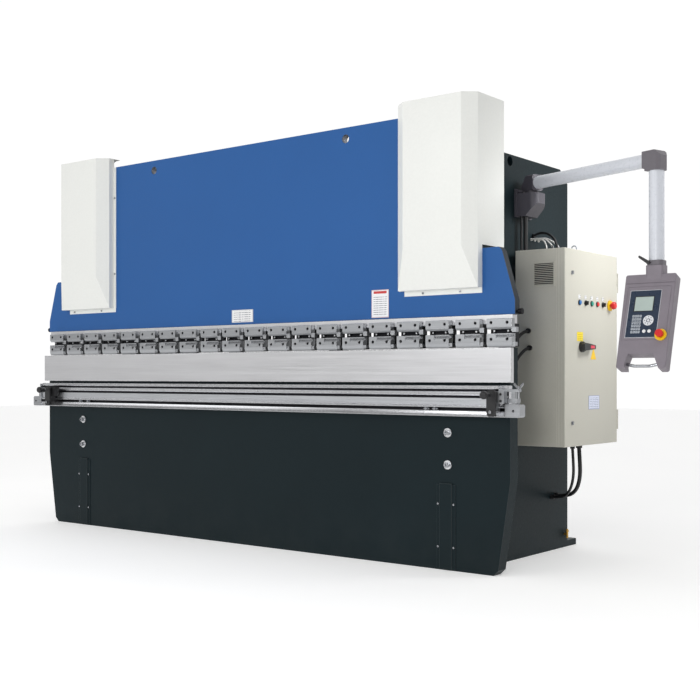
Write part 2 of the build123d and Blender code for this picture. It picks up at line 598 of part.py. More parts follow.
with BuildPart() as main_switch_handle:
    rods("X", door_face - 8, door_face + 16, [(switch_y, switch_z)], 10)
    rods("X", door_face + 15, door_face + 27, [(switch_y, switch_z)], 24)
    outline(at_x(door_face + 16), [(switch_y - 30, switch_z - 14), (switch_y - 20, switch_z - 22), (switch_y + 20, switch_z - 20),
                                   (switch_y + 112, switch_z - 12), (switch_y + 118, switch_z), (switch_y + 112, switch_z + 12),
                                   (switch_y + 20, switch_z + 20), (switch_y - 20, switch_z + 22), (switch_y - 30, switch_z + 14)], 22)

for name, z in (("door_lock_top", 1682.0), ("door_lock_bottom", 816.0)):
    with BuildPart() as lock:
        rods("X", door_face - 8, door_face + 5, [(lock_y, z)], 12.1)
        block(door_face + 5, door_face + 12, lock_y - 3, lock_y + 3, z - 10, z + 10)
    lock.part.label = name
    export_step(lock.part, "parts/" + name + ".step")

# ------------------------------------------------------------- pendant arm
with BuildPart() as arm_bracket:
    block(frame_x1, frame_x1 + 12, 500, 690, 2028, 2192)
    # rounded housing, cut off aslant below
    with BuildSketch(Plane.XY.offset(2030)) as housing:
        Polygon((frame_x1 + 10, 512), (1838, 512), (1838, 652), (frame_x1 + 10, 652), align=None)
        fillet(housing.vertices().group_by(Axis.X)[-1], radius=42)
    extrude(housing.sketch, amount=136, dir=(0, 0, 1))
    outline(at_y(700), [(1764, 2025), (1880, 2025), (1880, 2152), (1846, 2112)], 200, Mode.SUBTRACT)
    rods("Z", 2100, 2171, [(pivot_x, pivot_y)], 20.05, Mode.SUBTRACT)
    # mounting screws and the adjusting bolt
    rods("X", frame_x1 + 11, frame_x1 + 20, [(672, 2176), (672, 2044)], 8)
    rods("X", frame_x1 + 12, frame_x1 + 40, [(529, 2177)], 8)
    rods("X", frame_x1 + 22, frame_x1 + 34, [(529, 2177)], 10.5)

arm_len = ((drop_x - pivot_x) ** 2 + (drop_y - pivot_y) ** 2) ** 0.5
arm_dir = ((drop_x - pivot_x) / arm_len, (drop_y - pivot_y) / arm_len, 0)
with BuildPart() as swing_arm:
    rods("Z", 2110, 2180, [(pivot_x, pivot_y)], 20)
    rods("Z", 2168, 2186, [(pivot_x, pivot_y)], 40)
    # pivot head, its flange, the tube and the elbow, along the arm
    side_dir = (arm_dir[1], -arm_dir[0], 0)
    head_plane = Plane(origin=(pivot_x - 38 * side_dir[0], pivot_y - 38 * side_dir[1], arm_z), x_dir=arm_dir, z_dir=side_dir)
    outline(head_plane, [(-56, -28), (-34, -45), (44, -45), (44, 46), (8, 48), (-24, 38), (-58, -16)], 76)
    chamfer(swing_arm.edges().filter_by(lambda e: abs((e % 0.5).Z) > 0.3 or abs(abs((e % 0.5).X * arm_dir[0] + (e % 0.5).Y * arm_dir[1]) - 1) < 0.01)
            .filter_by(lambda e: e.center().Z > 2190), length=7)
    with BuildSketch(Plane(origin=(pivot_x + 36 * arm_dir[0], pivot_y + 36 * arm_dir[1], arm_z), x_dir=side_dir, z_dir=arm_dir)) as flange:
        RectangleRounded(86, 96, 16)
    extrude(flange.sketch, amount=14, dir=arm_dir)
    with BuildSketch(Plane(origin=(pivot_x + 48 * arm_dir[0], pivot_y + 48 * arm_dir[1], arm_z), x_dir=side_dir, z_dir=arm_dir)) as tube_section:
        Circle(37)
    extrude(tube_section.sketch, amount=arm_len - 48 - 50, dir=arm_dir)
    with BuildPart(mode=Mode.PRIVATE) as elbow:
        elbow_plane = Plane(origin=(drop_x - 43 * side_dir[0], drop_y - 43 * side_dir[1], arm_z), x_dir=arm_dir, z_dir=side_dir)
        outline(elbow_plane, [(-64, 43), (18, 43), (46, 16), (46, -62), (-46, -62), (-46, -52), (-64, -44)], 86)
        upright = elbow.edges().filter_by(Axis.Z).filter_by(lambda e: (e.center().X - drop_x) * arm_dir[0] + (e.center().Y - drop_y) * arm_dir[1] > 40)
        chamfer(upright, length=18)
    add(elbow.part)

n_flat = Vector(sin(pendant_turn), -cos(pendant_turn), 0)
p_right = Vector(cos(pendant_turn), sin(pendant_turn), 0)
collar_plane = Plane(origin=(drop_x, drop_y, 1666), x_dir=p_right, z_dir=(0, 0, 1))
with BuildPart() as pendant_column:
    rods("Z", 1690, arm_z - 62, [(drop_x, drop_y)], 40)
    with BuildSketch(collar_plane) as collar:
        RectangleRounded(88, 86, 26)
    extrude(collar.sketch, amount=26, dir=(0, 0, 1))
    rods("Z", 1665, 1688, [(drop_x, drop_y)], 18.05, Mode.SUBTRACT)

lever_at = Vector(drop_x, drop_y, 1680) - p_right * 26 + n_flat * 43.4
lever_plane = Plane(origin=lever_at, x_dir=p_right, z_dir=n_flat)
with BuildPart() as pendant_clamp_lever:
    with BuildSketch(lever_plane) as lever_boss:
        Circle(9)
    extrude(lever_boss.sketch, amount=18, dir=n_flat)
    with BuildSketch(Plane(origin=lever_at + n_flat * 6, x_dir=p_right, z_dir=n_flat)) as lever_bar:
        Polygon((4, 8), (-6, -6), (-50, 26), (-52, 34), (-46, 38), align=None)
    extrude(lever_bar.sketch, amount=9, dir=n_flat)

p_norm = n_flat * cos(pendant_tilt) + Vector(0, 0, 1) * sin(pendant_tilt)
p_up = p_norm.cross(p_right)
# the case hangs from the middle of its top edge; its back plane is half a depth behind
p_origin = Vector(drop_x, drop_y, pendant_top_z - 10) - p_norm * (pendant_d / 2)
case_plane = Plane(origin=p_origin, x_dir=p_right, z_dir=p_norm)


def on_case(depth):
    return Plane(origin=p_origin + p_norm * depth, x_dir=p_right, z_dir=p_norm)


with BuildPart() as pendant_shell:
    with BuildSketch(case_plane) as case_outline:
        Polygon((-155, -8), (119, -8), (123, -531), (-141, -531), align=None)
        fillet(case_outline.vertices(), radius=12)
    extrude(case_outline.sketch, amount=pendant_d, dir=p_norm)
    chamfer(pendant_shell.faces().sort_by(Axis((0, 0, 0), tuple(p_norm)))[-1].edges(), length=4)
    # hand hold at the bottom
    outline(on_case(-1), [(-92, -532), (86, -532), (74, -506), (50, -453), (-84, -453), (-98, -506)], pendant_d + 2, Mode.SUBTRACT)
    # recess of the operating panel, the groove over it and the line round it
    outline(on_case(pendant_d - 3), [(-115.5, -100), (53.5, -100), (53.5, -365), (-115.5, -365)], 4, Mode.SUBTRACT)
    outline(on_case(pendant_d - 3), [(-170, -58), (118, -58), (118, -62.5), (-170, -62.5)], 4, Mode.SUBTRACT)
    with BuildSketch(on_case(pendant_d - 1.6)) as panel_line:
        with Locations((-14, -229)):
            RectangleRounded(237, 300, 10)
            RectangleRounded(231, 294, 8, mode=Mode.SUBTRACT)
    extrude(panel_line.sketch, amount=3, dir=p_norm, mode=Mode.SUBTRACT)
    # pocket of the emergency stop
    e_face = on_case(pendant_d - 14)
    with BuildSketch(e_face) as stop_pocket:
        with Locations((78, -353)):
            Circle(10.5)
    extrude(stop_pocket.sketch, amount=20, dir=p_norm, mode=Mode.SUBTRACT)
    # neck and pivot pin
    with BuildSketch(Plane(origin=(drop_x, drop_y, 1585), x_dir=p_right, z_dir=(0, 0, 1))) as neck:
        RectangleRounded(94, 84, 16)
    extrude(neck.sketch, amount=1665.4 - 1585, dir=(0, 0, 1))
    rods("Z", 1660, 1684, [(drop_x, drop_y)], 18)

with BuildPart() as pendant_panel:
    outline(on_case(pendant_d - 3), [(-115, -100.5), (53, -100.5), (53, -364.5), (-115, -364.5)], 2.5)
    outline(on_case(pendant_d - 0.5), [(-82, -138), (15, -138), (15, -216), (-82, -216)], 1)
    # keys, navigation ring and white buttons
    with BuildSketch(on_case(pendant_d - 0.5)) as keys:
        with Locations((-62, -290)):
            with GridLocations(13, 17.6, 4, 6):
                RectangleRounded(10.5, 13, 2)
        with Locations((1, -271)):
            Circle(28)
            Circle(11, mode=Mode.SUBTRACT)
        with Locations((1, -271)):
            Circle(7)
        with Locations((-15, -330), (13, -330)):
            Circle(9)
    extrude(keys.sketch, amount=2.5, dir=p_norm)
    # ring of the emergency stop
    with BuildSketch(on_case(pendant_d)) as ring:
        with Locations((78, -353)):
            Circle(31)
            Circle(10.5, mode=Mode.SUBTRACT)
    extrude(ring.sketch, amount=8, dir=p_norm)

with BuildPart() as pendant_handle:
    with BuildLine() as grip_line:
        FilletPolyline(
            p_origin + p_norm * 32 + p_up * -500 - p_right * 97,
            p_origin + p_norm * 38 + p_up * -512 - p_right * 50,
            p_origin + p_norm * 38 + p_up * -512 + p_right * 30,
            p_origin + p_norm * 32 + p_up * -500 + p_right * 74,
            radius=60,
        )
    grip_wire = grip_line.wire()
    with BuildSketch(Plane(origin=grip_wire @ 0, z_dir=grip_wire % 0)) as bar:
        Circle(8)
    sweep(bar.sketch, path=grip_wire)

with BuildPart() as pendant_estop:
    with BuildSketch(on_case(pendant_d - 8)) as stem:
        with Locations((78, -353)):
            Circle(10)
    extrude(stem.sketch, amount=26, dir=p_norm)
    with BuildSketch(on_case(pendant_d + 16)) as head:
        with Locations((78, -353)):
            Circle(20)
    extrude(head.sketch, amount=20, dir=p_norm)

# ------------------------------------------------------------------ export
for name, built in (
    ("side_frame_right", side_frame_right), ("side_frame_left", side_frame_left), ("bed_plate", bed_plate),
    ("table_strip", table_strip), ("bed_access_strips", bed_access_strips), ("bed_screws", bed_screws),
    ("cross_beams", cross_beams), ("front_rail", front_rail), ("rail_fittings", rail_fittings),
    ("ram_plate", ram_plate), ("ram_tool_bar", ram_tool_bar), ("clamp_bodies", clamp_bodies),
    ("upper_clamp_plates", upper_clamp_plates), ("lower_clamp_plates", lower_clamp_plates),
    ("clamp_screws", clamp_screws), ("clamp_slide_bars", clamp_slide_bars),
    ("ram_cover_right", ram_cover_right), ("ram_cover_left", ram_cover_left), ("ram_fittings", ram_fittings),
    ("piston_rods", piston_rods), ("ram_brackets", ram_brackets), ("torsion_shaft", torsion_shaft),
    ("frame_brackets", frame_brackets), ("cylinders", cylinders),
    ("oil_tank", oil_tank), ("pump_motor", pump_motor), ("hydraulic_pipework", hydraulic_pipework),
    ("backgauge_rails", backgauge_rails), ("backgauge_beam", backgauge_beam),
    ("cabinet_body", cabinet_body), ("cabinet_louver", cabinet_louver), ("cabinet_internals", cabinet_internals),
    ("cabinet_cables", cabinet_cables), ("hose_thick", hose_thick), ("hose_thin", hose_thin),
    ("cabinet_door", cabinet_door), ("door_fittings", door_fittings), ("emergency_stop", emergency_stop),
    ("main_switch_handle", main_switch_handle), ("arm_bracket", arm_bracket), ("swing_arm", swing_arm),
    ("pendant_column", pendant_column), ("pendant_clamp_lever", pendant_clamp_lever),
    ("pendant_shell", pendant_shell), ("pendant_panel", pendant_panel), ("pendant_handle", pendant_handle),
    ("pendant_estop", pendant_estop),
):
    built.part.label = name
    export_step(built.part, "parts/" + name + ".step")

for name, route, d, length, piece in (
    ("hose_thick", hose_thick_route, hose_thick_d, thick_length, hose_thick),
    ("hose_thin", hose_thin_route, hose_thin_d, thin_length, hose_thin),
):
    print(name, "length", round(length, 1), "radii", [round(r) for r in bend_radii(route)],
          "volume", round(piece.part.volume), "section x length", round(3.14159265 * d * d / 4 * length))
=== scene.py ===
import bpy, bmesh, math, json
from mathutils import Vector, Matrix

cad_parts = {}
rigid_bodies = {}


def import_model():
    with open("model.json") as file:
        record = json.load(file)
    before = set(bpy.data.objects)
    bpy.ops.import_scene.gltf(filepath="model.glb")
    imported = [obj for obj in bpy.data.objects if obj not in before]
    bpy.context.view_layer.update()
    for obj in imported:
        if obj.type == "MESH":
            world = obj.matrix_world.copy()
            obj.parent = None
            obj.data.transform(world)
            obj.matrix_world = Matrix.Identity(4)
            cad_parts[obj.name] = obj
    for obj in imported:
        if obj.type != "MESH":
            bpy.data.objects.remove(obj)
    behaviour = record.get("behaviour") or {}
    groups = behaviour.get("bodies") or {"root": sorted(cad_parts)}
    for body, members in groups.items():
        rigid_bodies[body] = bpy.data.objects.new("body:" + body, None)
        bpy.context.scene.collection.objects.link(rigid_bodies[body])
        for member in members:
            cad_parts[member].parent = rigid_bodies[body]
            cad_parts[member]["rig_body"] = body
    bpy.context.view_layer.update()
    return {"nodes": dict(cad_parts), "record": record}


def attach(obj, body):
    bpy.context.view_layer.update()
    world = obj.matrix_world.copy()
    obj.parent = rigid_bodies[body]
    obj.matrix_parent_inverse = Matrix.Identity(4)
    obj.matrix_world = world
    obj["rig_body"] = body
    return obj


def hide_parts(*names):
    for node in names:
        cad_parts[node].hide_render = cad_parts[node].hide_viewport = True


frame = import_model()
NODES = frame["nodes"]
scene = bpy.context.scene

# ------------------------------------------------------------------ camera
cam_data = bpy.data.cameras.new("camera")
cam = bpy.data.objects.new("camera", cam_data)
scene.collection.objects.link(cam)
cam.location = (5.031, -5.339, 1.087)
cam.rotation_euler = (math.radians(90), 0, math.radians(38))
cam_data.sensor_width = 36.0
cam_data.lens = 57.9
cam_data.shift_y = 26.0 / 700.0
cam_data.clip_start, cam_data.clip_end = 0.05, 100
scene.camera = cam


# ------------------------------------------------------------------- cords
def spline_piece(name, points, diameter):
    data = bpy.data.curves.new(name, "CURVE")
    data.dimensions = "3D"
    data.bevel_depth = 1.0
    data.bevel_resolution = 6
    data.resolution_u = 16
    data.use_fill_caps = True
    sp = data.splines.new("NURBS")
    sp.points.add(len(points) - 1)
    for p, c in zip(sp.points, points):
        p.co = (c[0] / 1000, c[1] / 1000, c[2] / 1000, 1)
        p.radius = diameter / 2
    sp.order_u = 3
    sp.use_endpoint_u = True
    o = bpy.data.objects.new(name, data)
    scene.collection.objects.link(o)
    return o


thick_points = [
    (1950, 840, 655), (1957, 838, 570), (1950, 856, 488), (1916, 893, 415),
    (1862, 945, 372), (1800, 995, 347), (1725, 1010, 338),
]
thin_points = [
    (1950, 755, 655), (1954, 757, 580), (1950, 770, 506), (1926, 798, 440),
    (1886, 840, 390), (1838, 888, 358), (1790, 938, 342), (1725, 955, 335),
]
hose_a = spline_piece("supply_hose_thick", thick_points, 0.024)
hose_b = spline_piece("supply_hose_thin", thin_points, 0.017)
for o, node, p, length, d in ((hose_a, "hose_thick", thick_points[0], 0.500, 0.024),
                              (hose_b, "hose_thin", thin_points[0], 0.512, 0.017)):
    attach(o, "frame")
    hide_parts(node)


# --------------------------------------------------------------- materials
def lin(c):
    # sRGB 0-255 to linear
    out = []
    for v in c:
        v = v / 255
        out.append(v / 12.92 if v <= 0.04045 else ((v + 0.055) / 1.055) ** 2.4)
    return out


class Graph:
    def __init__(self, name):
        self.mat = bpy.data.materials.new(name)
        self.mat.use_nodes = True
        self.t = self.mat.node_tree
        self.t.nodes.clear()
        self.out = self.t.nodes.new("ShaderNodeOutputMaterial")
        self.bsdf = self.t.nodes.new("ShaderNodeBsdfPrincipled")
        self.link(self.bsdf.outputs[0], self.out.inputs[0])
        self.coord = self.t.nodes.new("ShaderNodeTexCoord")

    def link(self, a, b):
        self.t.links.new(a, b)

    def noise(self, scale, detail=4.0, rough=0.55, stretch=None):
        n = self.t.nodes.new("ShaderNodeTexNoise")
        n.inputs["Scale"].default_value = scale
        n.inputs["Detail"].default_value = detail
        n.inputs["Roughness"].default_value = rough
        if stretch:
            m = self.t.nodes.new("ShaderNodeMapping")
            m.inputs["Scale"].default_value = stretch
            self.link(self.coord.outputs["Object"], m.inputs["Vector"])
            self.link(m.outputs[0], n.inputs["Vector"])
        else:
            self.link(self.coord.outputs["Object"], n.inputs["Vector"])
        return n.outputs["Fac"]

    def ramp(self, fac, stops):
        r = self.t.nodes.new("ShaderNodeValToRGB")
        e = r.color_ramp.elements
        while len(e) < len(stops):
            e.new(0.5)
        for el, (pos, col) in zip(e, stops):
            el.position = pos
            el.color = (*col, 1)
        self.link(fac, r.inputs[0])
        return r.outputs[0]

    def span(self, fac, a, b, c, d):
        m = self.t.nodes.new("ShaderNodeMapRange")
        m.inputs[1].default_value, m.inputs[2].default_value = a, b
        m.inputs[3].default_value, m.inputs[4].default_value = c, d
        self.link(fac, m.inputs[0])
        return m.outputs[0]

    def mix(self, fac, a, b, kind="MIX"):
        m = self.t.nodes.new("ShaderNodeMix")
        m.data_type = "RGBA"
        m.blend_type = kind
        for sock, v in ((m.inputs["Factor"], fac), (m.inputs[6], a), (m.inputs[7], b)):
            if isinstance(v, (int, float)):
                sock.default_value = v
            elif isinstance(v, (tuple, list)):
                sock.default_value = (*v, 1)
            else:
                self.link(v, sock)
        return m.outputs[2]

    def math(self, op, a, b=0.0):
        m = self.t.nodes.new("ShaderNodeMath")
        m.operation = op
        for sock, v in ((m.inputs[0], a), (m.inputs[1], b)):
            if isinstance(v, (int, float)):
                sock.default_value = v
            else:
                self.link(v, sock)
        return m.outputs[0]

    def xyz(self):
        s = self.t.nodes.new("ShaderNodeSeparateXYZ")
        self.link(self.coord.outputs["Object"], s.inputs[0])
        return s.outputs

    def bump(self, height, strength, distance, normal=None):
        b = self.t.nodes.new("ShaderNodeBump")
        b.inputs["Strength"].default_value = strength
        b.inputs["Distance"].default_value = distance
        self.link(height, b.inputs["Height"])
        if normal is not None:
            self.link(normal, b.inputs["Normal"])
        return b.outputs[0]

    def set(self, **k):
        for name, v in k.items():
            sock = self.bsdf.inputs[name.replace("_", " ")]
            if isinstance(v, (int, float)):
                sock.default_value = v
            elif isinstance(v, (tuple, list)):
                sock.default_value = (*v, 1) if len(sock.default_value) == 4 else v
            else:
                self.link(v, sock)
        return self


def mul(c, k):
    return [min(1.0, v * k) for v in c]


def painted(name, rgb, rough=0.4, peel=0.12, mottle=0.06, dust=0.0, dark_edges=None, spec=0.5, lighten=None):
    g = Graph(name)
    base = lin(rgb)
    col = g.ramp(g.noise(1.3, 5), [(0.3, mul(base, 1 - mottle)), (0.7, mul(base, 1 + mottle))])
    fine = g.noise(60, 4)
    col = g.mix(g.span(fine, 0.35, 0.7, 0.0, 0.10), col, mul(base, 1.25))
    if dark_edges is not None:
        geo = g.t.nodes.new("ShaderNodeNewGeometry")
        sep = g.t.nodes.new("ShaderNodeSeparateXYZ")
        g.link(geo.outputs["True Normal"], sep.inputs[0])
        front = g.math("ABSOLUTE", sep.outputs[1])
        edge = g.span(front, 0.35, 0.75, 1.0, 0.0)
        col = g.mix(edge, col, lin(dark_edges))
    if dust:
        z = g.xyz()[2]
        low = g.span(z, 0.0, 0.35, 1.0, 0.0)
        low = g.math("MULTIPLY", low, g.span(g.noise(7, 6, 0.65), 0.35, 0.75, 0.0, 1.0))
        low = g.math("MULTIPLY", low, dust)
        col = g.mix(low, col, lin((150, 148, 140)))
    scuff = g.span(g.noise(9, 8, 0.7, (1, 1, 2.5)), 0.62, 0.74, 0.0, 1.0)
    r = g.math("ADD", g.span(fine, 0.3, 0.7, rough - 0.05, rough + 0.05), g.math("MULTIPLY", scuff, 0.10))
    n = g.bump(g.noise(330, 2), peel, 0.0006)
    n = g.bump(g.noise(2.2, 3), 0.10, 0.004, n)
    g.set(Base_Color=col, Roughness=r, Normal=n)
    g.bsdf.inputs["Specular IOR Level"].default_value = spec
    return g.mat


def metal(name, rgb, rough=0.28, along="X", streak=0.16, stain=0.10, scale=1.0, bump=0.10):
    g = Graph(name)
    base = lin(rgb)
    st = {"X": (3, 420, 420), "Y": (420, 3, 420), "Z": (420, 420, 3), None: (90, 90, 90)}[along]
    lines = g.noise(scale, 3, 0.6, st)
    coarse = g.noise(scale, 4, 0.6, tuple(v / 9 for v in st))
    col = g.ramp(lines, [(0.25, mul(base, 1 - streak)), (0.75, mul(base, 1 + streak))])
    col = g.mix(g.span(g.noise(2.6, 6, 0.6), 0.45, 0.75, 0.0, stain), col, mul(base, 0.72))
    r = g.math("ADD", g.span(lines, 0.3, 0.7, rough - 0.06, rough + 0.06), g.span(coarse, 0.3, 0.7, -0.03, 0.05))
    n = g.bump(lines, bump, 0.0003)
    g.set(Base_Color=col, Roughness=r, Normal=n, Metallic=1.0)
    return g.mat


def plastic(name, rgb, rough=0.45, grain=0.25, mottle=0.05, scale=900):
    g = Graph(name)
    base = lin(rgb)
    col = g.ramp(g.noise(14, 4), [(0.3, mul(base, 1 - mottle)), (0.7, mul(base, 1 + mottle))])
    r = g.span(g.noise(40, 4), 0.3, 0.7, rough - 0.05, rough + 0.06)
    n = g.bump(g.noise(scale, 2), grain, 0.0004)
    g.set(Base_Color=col, Roughness=r, Normal=n)
    return g.mat


M = {}
M["frame_green"] = painted("frame_green", (19, 32, 36), 0.46, mottle=0.10, dust=0.02, spec=0.14)
M["frame_edge"] = painted("frame_edge", (44, 54, 56), 0.36, mottle=0.16, spec=0.4)
M["ram_blue"] = painted("ram_blue", (40, 90, 152), 0.50, mottle=0.03, dark_edges=(34, 40, 46), spec=0.22)
M["ram_edge"] = painted("ram_edge", (52, 84, 130), 0.38, mottle=0.08, dark_edges=(50, 56, 62), spec=0.4)
M["cover_white"] = painted("cover_white", (230, 231, 227), 0.38, mottle=0.02, spec=0.45)
M["cover_edge"] = painted("cover_edge", (240, 240, 238), 0.34, mottle=0.02, spec=0.45)
M["cabinet_beige"] = painted("cabinet_beige", (190, 188, 177), 0.42, peel=0.35, mottle=0.025, spec=0.4)
M["cabinet_edge"] = painted("cabinet_edge", (204, 202, 192), 0.40, peel=0.3, mottle=0.03, spec=0.4)
M["ground_steel"] = metal("ground_steel", (218, 218, 220), 0.36, "X", 0.05, 0.10)
M["clamp_steel"] = metal("clamp_steel", (172, 174, 177), 0.36, "X", 0.14, 0.18)
M["bright_edge"] = metal("bright_edge", (225, 226, 228), 0.24, None, 0.06, 0.05)
M["dark_steel"] = metal("dark_steel", (62, 63, 66), 0.46, None, 0.22, 0.3)
M["black_oxide"] = metal("black_oxide", (38, 38, 41), 0.42, None, 0.22, 0.3)
M["chrome"] = metal("chrome", (168, 170, 174), 0.18, None, 0.05, 0.10, bump=0.03)
M["polished"] = metal("polished", (214, 215, 218), 0.20, "X", 0.06, 0.10, bump=0.05)
M["plug_steel"] = metal("plug_steel", (178, 180, 186), 0.42, None, 0.08, 0.1)
M["aluminium"] = metal("aluminium", (203, 205, 209), 0.30, "X", 0.07, 0.06)
M["tube_alu"] = painted("tube_alu", (208, 211, 218), 0.30, peel=0.05, mottle=0.015, spec=0.5)
M["lcd"] = plastic("lcd", (176, 190, 184), 0.22, 0.02, 0.03)
M["pad_white"] = plastic("pad_white", (220, 222, 226), 0.34, 0.05)
M["pad_ink"] = plastic("pad_ink", (22, 30, 44), 0.34, 0.05)
M["black_plastic"] = plastic("black_plastic", (27, 27, 29), 0.42)
M["pendant_grey"] = plastic("pendant_grey", (128, 121, 129), 0.48, 0.35)
M["elbow_grey"] = plastic("elbow_grey", (104, 100, 106), 0.50, 0.35)
M["housing_grey"] = plastic("housing_grey", (74, 72, 80), 0.50, 0.35)
M["navy_panel"] = plastic("navy_panel", (28, 44, 66), 0.30, 0.05)
M["red_plastic"] = plastic("red_plastic", (214, 34, 34), 0.30, 0.05)
M["green_plastic"] = plastic("green_plastic", (30, 150, 130), 0.30, 0.05)
M["blue_plastic"] = plastic("blue_plastic", (24, 110, 180), 0.30, 0.05)
M["yellow_plastic"] = plastic("yellow_plastic", (240, 196, 20), 0.35, 0.05)
M["white_plastic"] = plastic("white_plastic", (232, 232, 232), 0.32, 0.05)
M["key_grey"] = plastic("key_grey", (178, 184, 192), 0.40, 0.08)
M["hose_black"] = plastic("hose_black", (20, 20, 22), 0.50, 0.30)
M["cable_white"] = plastic("cable_white", (214, 214, 212), 0.42, 0.10)
M["pipe_steel"] = metal("pipe_steel", (150, 152, 156), 0.34, None, 0.08, 0.1)
M["brass"] = metal("brass", (190, 150, 80), 0.32, None, 0.1, 0.2)


def plate_print(name, ground, ink, lines, origin, size, border=None, header=None, axes="XZ"):
    # a printed plate with plain rules instead of words: rows of dashes, a header bar and a border
    g = Graph(name)
    p = g.xyz()
    u_src, v_src = (p[0], p[2]) if axes == "XZ" else (p[1], p[2])
    u = g.span(u_src, origin[0], origin[0] + size[0], 0.0, 1.0)
    v = g.span(v_src, origin[1], origin[1] + size[1], 0.0, 1.0)
    rows = g.math("FRACT", g.math("MULTIPLY", v, lines))
    bar = g.math("MULTIPLY", g.math("GREATER_THAN", rows, 0.42), g.math("LESS_THAN", rows, 0.72))
    inset = g.math("MULTIPLY", g.math("GREATER_THAN", u, 0.10), g.math("LESS_THAN", u, 0.90))
    inset = g.math("MULTIPLY", inset, g.math("MULTIPLY", g.math("GREATER_THAN", v, 0.06), g.math("LESS_THAN", v, 0.80 if header else 0.92)))
    words = g.noise(1.0, 2, 0.5, (260, 260, 3)) if axes == "XZ" else g.noise(1.0, 2, 0.5, (260, 260, 3))
    gaps = g.math("GREATER_THAN", words, 0.47)
    ink_mask = g.math("MULTIPLY", g.math("MULTIPLY", bar, inset), gaps)
    col = g.mix(ink_mask, lin(ground), lin(ink))
    if header:
        top = g.math("MULTIPLY", g.math("GREATER_THAN", v, 0.86), g.math("LESS_THAN", v, 0.95))
        top = g.math("MULTIPLY", top, g.math("MULTIPLY", g.math("GREATER_THAN", u, 0.12), g.math("LESS_THAN", u, 0.88)))
        col = g.mix(top, col, lin(header))
    if border:
        du = g.math("ABSOLUTE", g.math("SUBTRACT", u, 0.5))
        dv = g.math("ABSOLUTE", g.math("SUBTRACT", v, 0.5))
        edge = g.math("GREATER_THAN", g.math("MAXIMUM", du, dv), 0.47)
        col = g.mix(edge, col, lin(border))
    g.set(Base_Color=col, Roughness=g.span(g.noise(40, 3), 0.3, 0.7, 0.28, 0.42), Normal=g.bump(g.noise(500, 2), 0.06, 0.0003))
    return g.mat


for o in (hose_a, hose_b):
    o.data.materials.append(M["hose_black"])


# ---------------------------------------------------- refining the CAD nodes
def refine(node, body, slot_name, mats, width=0.0012, rule=None, angle=32, segments=2, smooth_angle=32):
    """A copy of a CAD node with welded, dissolved faces and rounded edges, as a piece of its own."""
    src = NODES[node]
    bm = bmesh.new()
    bm.from_mesh(src.data)
    bmesh.ops.remove_doubles(bm, verts=bm.verts, dist=2e-6)
    bmesh.ops.dissolve_limit(bm, angle_limit=math.radians(0.6), verts=bm.verts, edges=bm.edges, delimit={"NORMAL"})
    for f in bm.faces:
        f.smooth = True
        f.material_index = rule(f.calc_center_median(), f.normal) if rule else 0
    for e in bm.edges:
        if len(e.link_faces) == 2:
            e.smooth = e.calc_face_angle(0.0) < math.radians(smooth_angle)
    data = bpy.data.meshes.new("fine_" + node)
    bm.to_mesh(data)
    bm.free()
    for m in mats:
        data.materials.append(M[m] if isinstance(m, str) else m)
    o = bpy.data.objects.new("fine_" + node, data)
    scene.collection.objects.link(o)
    if width:
        b = o.modifiers.new("edge", "BEVEL")
        b.width = width
        b.segments = segments
        b.limit_method = "ANGLE"
        b.angle_limit = math.radians(angle)
        b.harden_normals = True
        b.use_clamp_overlap = True
    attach(o, body)
    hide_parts(node)
    return o


def edged(o, index):
    o.modifiers["edge"].material = index
    return o


BODY = {n: o["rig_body"] for n, o in NODES.items()}
SLOT = {s["node"]: s["material_slot"] for s in frame["record"]["subparts"]}


def plain(node, mats, width=0.0012, edge=None, rule=None, **k):
    o = refine(node, BODY[node], SLOT[node], list(mats) + ([edge] if edge else []), width, rule, **k)
    if edge:
        edged(o, len(mats))
    return o


for n in ("side_frame_left", "side_frame_right", "bed_plate", "cross_beams"):
    plain(n, ["frame_green"], 0.003, "frame_edge")
plain("bed_access_strips", ["frame_green"], 0.0008, "frame_edge")
plain("oil_tank", ["frame_green"], 0.003, "frame_edge")
plain("arm_bracket", ["housing_grey"], 0.003,
      rule=None)
plain("table_strip", ["ground_steel"], 0.0015, "bright_edge")
plain("ram_tool_bar", ["ground_steel"], 0.0012, "bright_edge")


# front rail: groove walls and bottoms in the listed bands take black oxide, which is painted shade in the grooves; the
# band 0.93 to 0.966 m is plain aluminium and the rest polished
def rail_rule(c, n):
    if c.y > -0.1075 and (0.8975 < c.z < 0.9125 or 0.9695 < c.z < 0.9805 or 1.0035 < c.z < 1.0145):
        return 1
    if 0.93 < c.z < 0.966:
        return 0
    return 2


plain("front_rail", ["aluminium", "black_oxide", "polished"], 0.0008, rule=rail_rule)
plain("rail_fittings", ["clamp_steel", "chrome"], 0.001,
      rule=lambda c, n: 1 if (abs(c.x) < 1.6 or c.z > 0.9995) else 0)
plain("frame_brackets", ["dark_steel"], 0.002)
plain("cylinders", ["dark_steel"], 0.002)
plain("pump_motor", ["dark_steel"], 0.002)
plain("hydraulic_pipework", ["pipe_steel", "brass"], 0.0008,
      rule=lambda c, n: 1 if c.z < 0.2 else 0)
plain("backgauge_rails", ["clamp_steel"], 0.001)
plain("backgauge_beam", ["aluminium"], 0.002)
plain("gauge_finger_left", ["black_oxide"], 0.001)
plain("gauge_finger_right", ["black_oxide"], 0.001)
plain("cabinet_body", ["cabinet_beige"], 0.0015, "cabinet_edge")
plain("cabinet_door", ["cabinet_beige"], 0.0015, "cabinet_edge")
# louver: a folded rim, twelve tilted slats and a black plate behind them, which is painted shade standing in for the
# cabinet's dark inside
def prism_x(bm, x0, x1, outline_yz, index):
    a = [bm.verts.new((x0, y, z)) for y, z in outline_yz]
    b = [bm.verts.new((x1, y, z)) for y, z in outline_yz]
    n = len(a)
    fs = [bm.faces.new(a), bm.faces.new(list(reversed(b)))]
    for k in range(n):
        fs.append(bm.faces.new((a[(k + 1) % n], a[k], b[k], b[(k + 1) % n])))
    for f in fs:
        f.material_index = index


